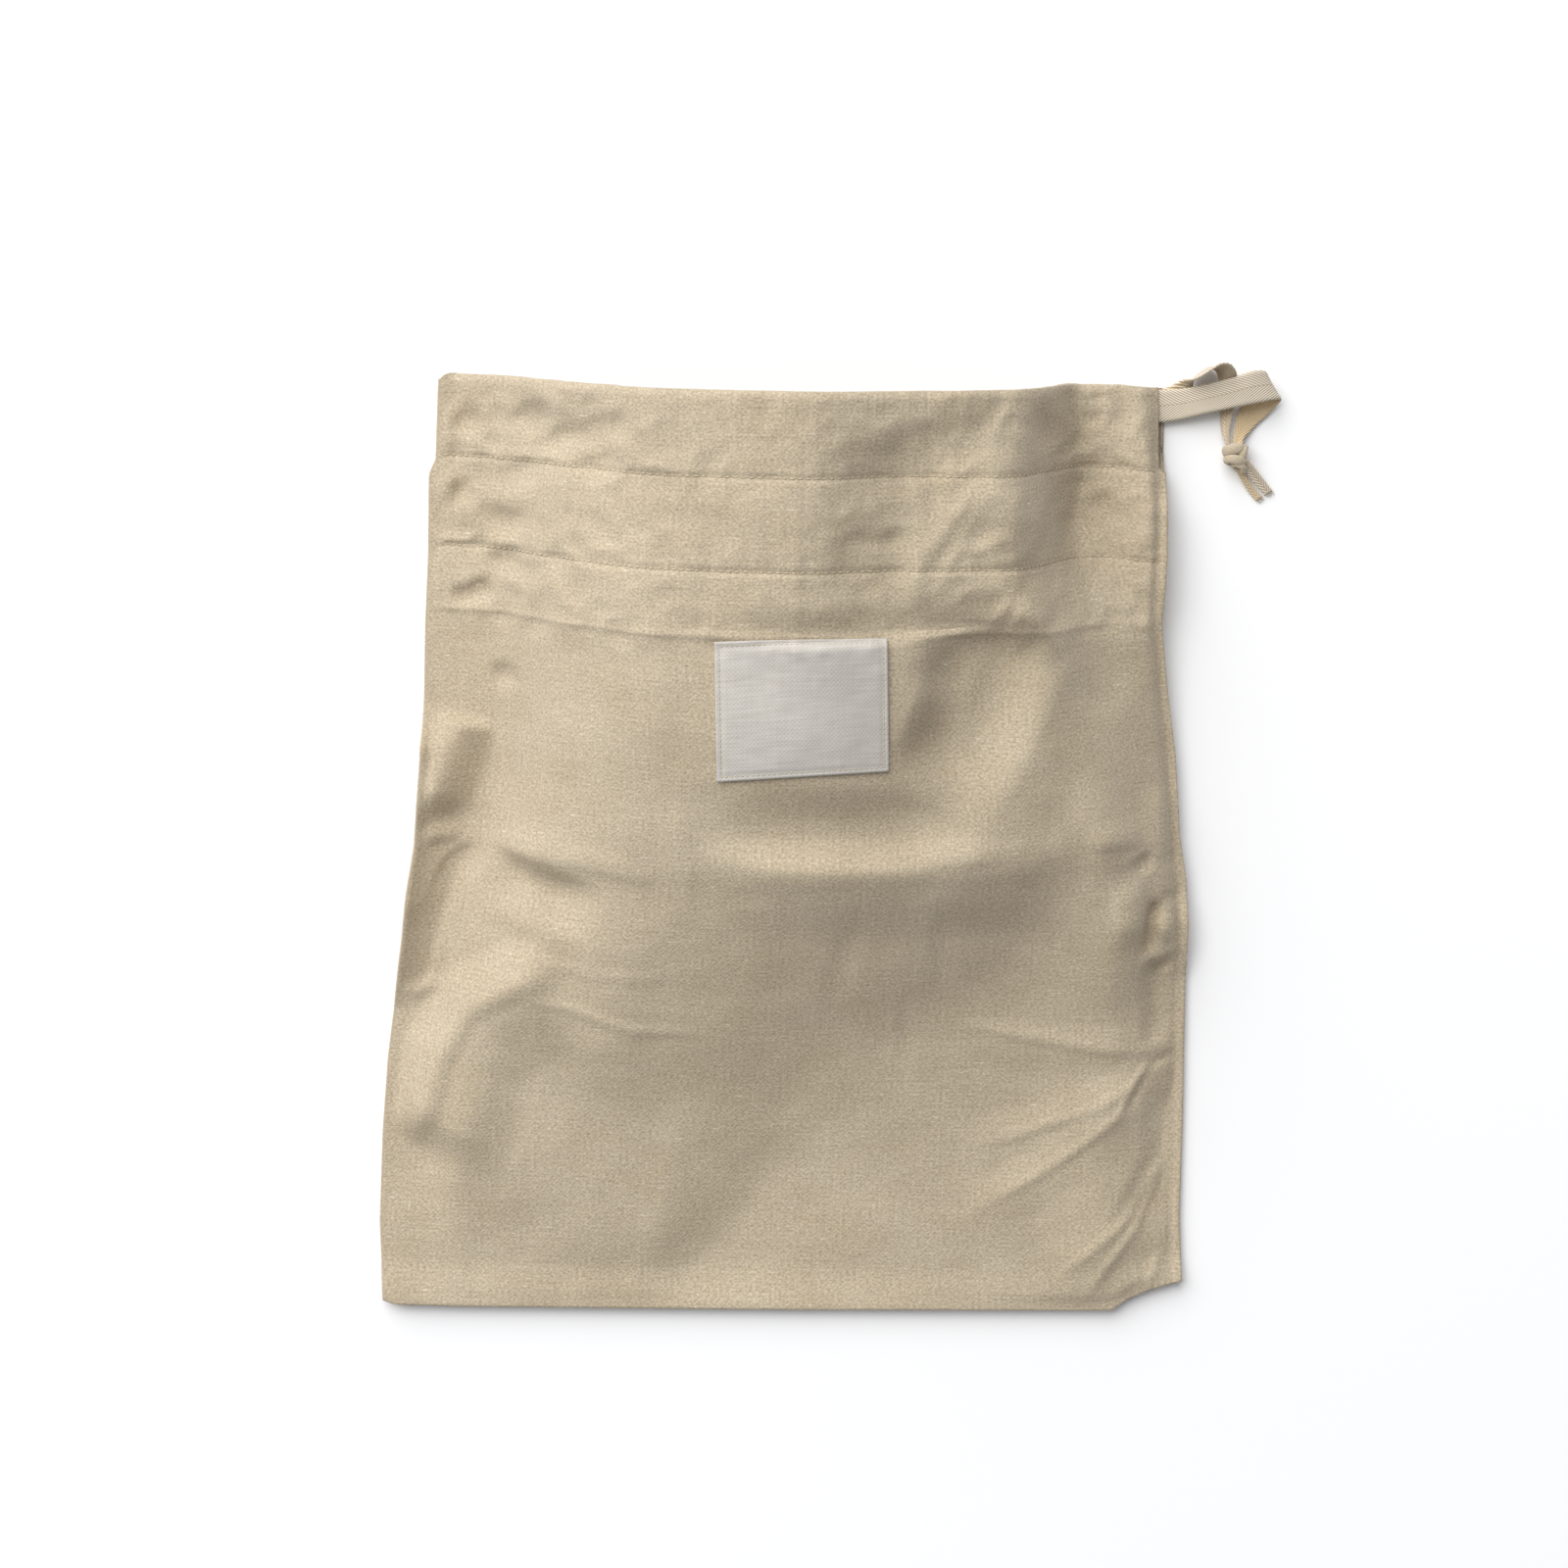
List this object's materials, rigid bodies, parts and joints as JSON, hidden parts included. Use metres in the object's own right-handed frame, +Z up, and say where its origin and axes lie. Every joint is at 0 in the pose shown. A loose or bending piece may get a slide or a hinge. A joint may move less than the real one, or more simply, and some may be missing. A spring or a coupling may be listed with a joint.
{
  "type": "drawstring bread bag",
  "caption": "Flat cotton drawstring bag lying on its back, its front panel raised in a long bulge, with a sewn label patch and a knotted twill tape at one corner.",
  "frame": {"origin": "on the surface the bag lies on, under the middle of the bag's own box, the drawstring left out", "axes": "+Y along the bag's length towards its mouth, +Z up from the surface, out of the front panel, +X towards the side seam that the drawstring comes out of"},
  "size_m": [0.3491, 0.3679, 0.08],
  "materials": {
    "cotton_cloth": "plain weave, unbleached, creased",
    "woven_label": "fine plain weave, off-white, bare",
    "twill_tape": "herringbone twill tape, cream"
  },
  "bodies": {
    "root": {"bag": "cotton_cloth", "label": "woven_label", "strand_upper": "twill_tape", "strand_lower": "twill_tape", "knot": "twill_tape", "tail_right": "twill_tape", "tail_left": "twill_tape"}
  },
  "joints": []
}
